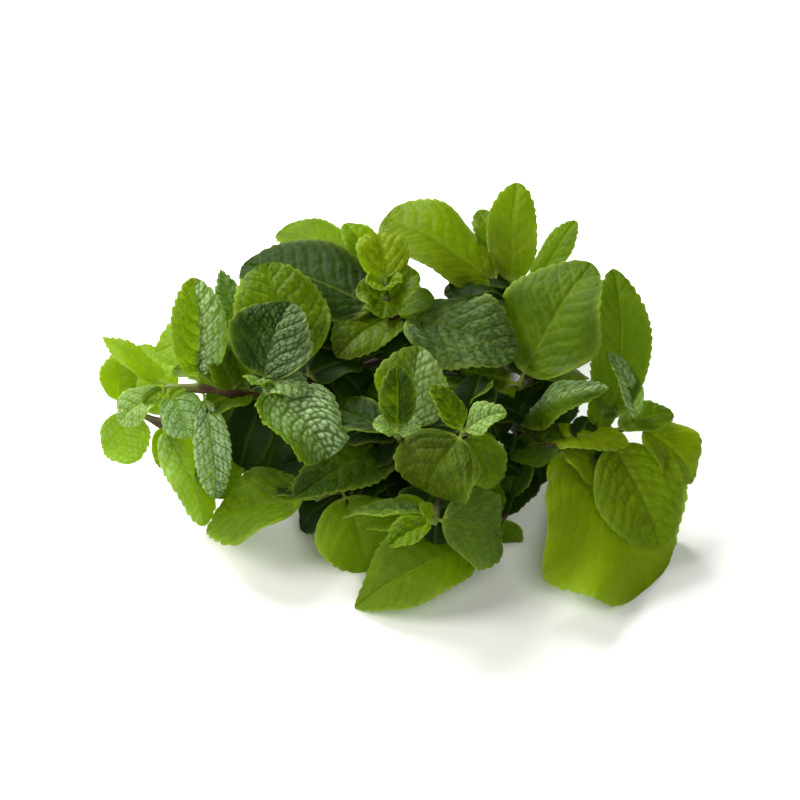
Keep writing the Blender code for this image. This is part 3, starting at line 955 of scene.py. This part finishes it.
growSprig({
    "name": "front_left_stem",
    "points": [(35, 78, 1.6), (14, 26, 12), (-6, -28, 22), (-30, -44, 23)],
    "leaves": [
        # large, low on the left
        leaf(1.0, (-69, -40, 9.5), 37, sweep=0.02, blunt=0.48, tooth=0.7, quilt=1.0, warm=1.0, bloom=0.3),
        # round, reaches down to the table
        leaf(0.93, (-11, -61, 3), 32, tooth=0.7, tone=0.35, warm=1.05, pale=0.9),
        # wide, lies flat above the others
        leaf(0.5, (-37, -47, 30), 29, bend=40, sweep=0.1, quilt=1.0, cell=1.8, tone=-0.3, warm=1.0,
             bloom=0.2),
        leaf(1.0, (-50, -24, 13), 20, quilt=0.8, tone=-0.7),
        paintedShadeLeaf(0.72, (-38, -22, 8), 22),
        paintedShadeLeaf(0.8, (-44, -24, 22), 18),
        paintedShadeLeaf(0.66, (14, -44, 14), 22),
        paintedShadeLeaf(0.6, (3, -46, 19), 22),
        paintedShadeLeaf(0.7, (-16, -42, 20), 18),
        paintedShadeLeaf(0.88, (-37, -43, 7), 18),
    ],
})

growSprig({
    "name": "right_stem",
    "points": [(57, 79, 1.6), (51, 40, 13), (43, 0, 25), (45, -26, 31), (59, -32, 37), (84, -22, 38)],
    "leaves": [
        # tall, on the right
        leaf(0.92, (76, 10, 84), 21, bend=20, sweep=-0.06, quilt=0.5, tone=-0.2, warm=0.9, bloom=0.2,
             pale=0.3),
        leaf(1.0, (74, -14, 65), 11, fold=35, tone=0.5, warm=0.3, bloom=0.2, frost=0.5),
        # furthest to the right
        leaf(1.0, (106.5, -32, 21), 26, warm=1.4),
        # large, in front of the largest
        leaf(0.92, (92.5, -58, 12), 34, fold=10, tooth=0.6, cell=3.0, tone=0.5, warm=1.2, bloom=0.2,
             pale=-0.1),
        # the largest
        leaf(0.79, (89.5, -67, 3.5), 63, bend=12, fold=3, curl=-6, blunt=0.36, tooth=0.5, quilt=0.5,
             tone=0.6, warm=1.5, bloom=0.0, pale=0.25),
        # folded, pale from painted sheen on one half, reaches over the gap
        leaf(0.61, (72.5, -25, 58), 19, roll=6, bend=50, fold=-12, twist=28, droop=0, blunt=0.9,
             tooth=0.5, tone=-0.1, warm=0.8, frost=1.0, frostSide=1),
        leaf(0.72, (38, -38, 18), 14, tone=-0.6),
        leaf(0.52, (43, -6, 43), 18, tone=-0.4),
        leaf(0.8, (64, -46, 22), 20, quilt=0.3, tone=0.5, warm=1.5),
        leaf(0.94, (98, -15, 39), 15, tone=-0.1),
        leaf(0.9, (74, -12, 52), 11, tone=-0.2),
        paintedShadeLeaf(0.88, (84, -42, 20), 18),
        paintedShadeLeaf(0.62, (56, 6, 40), 15),
        paintedShadeLeaf(0.7, (62, -4, 38), 20),
        paintedShadeLeaf(0.8, (76, -36, 26), 20, tone=0.35, warm=1.5, pale=0.0),
        paintedShadeLeaf(0.85, (38, -28, 30), 20, tone=-0.3),
        paintedShadeLeaf(0.6, (50, -12, 34), 18),
        paintedShadeLeaf(0.78, (55, -20, 34), 14),
        leaf(0.7, (80, -34, 42), 15, quilt=0.4, tone=0.1, warm=1.4),
        paintedShadeLeaf(0.6, (52, -28, 14), 18),
        paintedShadeLeaf(0.66, (40, -30, 34), 14),
        paintedShadeLeaf(0.85, (67, -22, 42), 10),
    ],
})

growSprig({
    "name": "right_back_stem",
    "points": [(69, 78, 1.6), (62, 42, 18), (52, 8, 37), (42, -12, 48)],
    "leaves": [
        # large and pale, with a strong midrib
        leaf(1.0, (66, 10, 87), 42, bend=20, tooth=0.5, quilt=0.8, cell=2.6, tone=-0.25, bloom=0.0,
             pale=0.8),
        leaf(1.0, (14, -7, 50), 20, tone=-0.2),
        leaf(0.9, (68, 12, 34), 20, tone=-0.2),
        paintedShadeLeaf(0.78, (40, 18, 64), 20),
        paintedShadeLeaf(0.85, (28, 2, 64), 18),
        paintedShadeLeaf(0.9, (32, -2, 62), 16),
    ],
})

growSprig({
    "name": "back_stem",
    "points": [(66, 80, 5.4), (60, 58, 26), (49, 38, 50), (38, 18, 66)],
    "leaves": [
        # large and bright, partly painted glow of light through it, at the back
        leaf(1.0, (-5, 40, 86.5), 33, sweep=0.06, blunt=0.38, tooth=0.5, quilt=0.5, warm=1.2),
        # the highest
        leaf(0.92, (42.5, 48, 94), 19, tooth=0.6, quilt=0.5, tone=-0.1, warm=1.3, bloom=0.2),
        leaf(0.7, (65, 52, 74), 13, sweep=-0.05, tooth=0.6, tone=-0.1, warm=0.9, bloom=0.1),
        leaf(0.9, (29, 48, 82), 16, tone=-0.1),
        paintedShadeLeaf(0.95, (18, 10, 75), 21),
        paintedShadeLeaf(0.9, (31, 20, 72), 18),
        paintedShadeLeaf(0.8, (16, 24, 62), 20),
        paintedShadeLeaf(0.7, (34, 38, 52), 24),
    ],
})

growSprig({
    "name": "top_stem",
    "points": [(41, 82, 9.2), (24, 50, 36), (6, 16, 58), (-5, 0, 70), (-5, -6, 79), (-5, -2, 86)],
    "leaves": [
        # large and dark, on the left of the top
        leaf(0.83, (-58, 32, 71), 40, bend=10, tooth=0.6, quilt=0.9, cell=1.9, tone=-0.75, warm=1.0,
             bloom=0.0, pale=0.3),
        # large and dark, on the right of the top
        leaf(0.79, (41, -14, 64), 33, roll=10, tooth=0.7, quilt=1.1, cell=1.8, tone=-0.25, warm=0.5,
             bloom=0.3, frost=0.15),
        leaf(0.75, (-22, -16, 66), 22, tone=-0.1, warm=1.1),
        # golden with painted glow of light through it, at the very top
        leaf(1.0, (-8, 15, 96), 20, fold=30, quilt=1.6, cell=1.8, tone=1.2, warm=1.6),
        leaf(0.93, (-15, -4, 86), 17, fold=30, quilt=1.4, cell=1.8, warm=1.1),
        leaf(0.93, (6, 0, 90), 19, fold=30, quilt=1.0, cell=1.8, tone=-0.1, warm=1.1),
        paintedShadeLeaf(0.7, (4, 2, 62), 18),
        leaf(0.95, (-6, -16, 83), 14, quilt=1.0, cell=1.8, tone=0.1, warm=1.0),
        leaf(0.97, (-11, -8, 92), 12, fold=24, quilt=1.4, cell=1.6, tone=0.3, warm=1.3),
        leaf(0.97, (0, -7, 92), 11, fold=24, quilt=1.4, cell=1.6, tone=0.1, warm=1.2),
        paintedShadeLeaf(0.8, (12, 8, 73), 16, tone=-0.1),
        paintedShadeLeaf(0.6, (-22, 24, 70), 20),
        paintedShadeLeaf(0.7, (-9, -8, 58), 20, tone=-1.0),
    ],
})
print(total["leaves"], "leaves with", total["triangles"], "triangles in all")
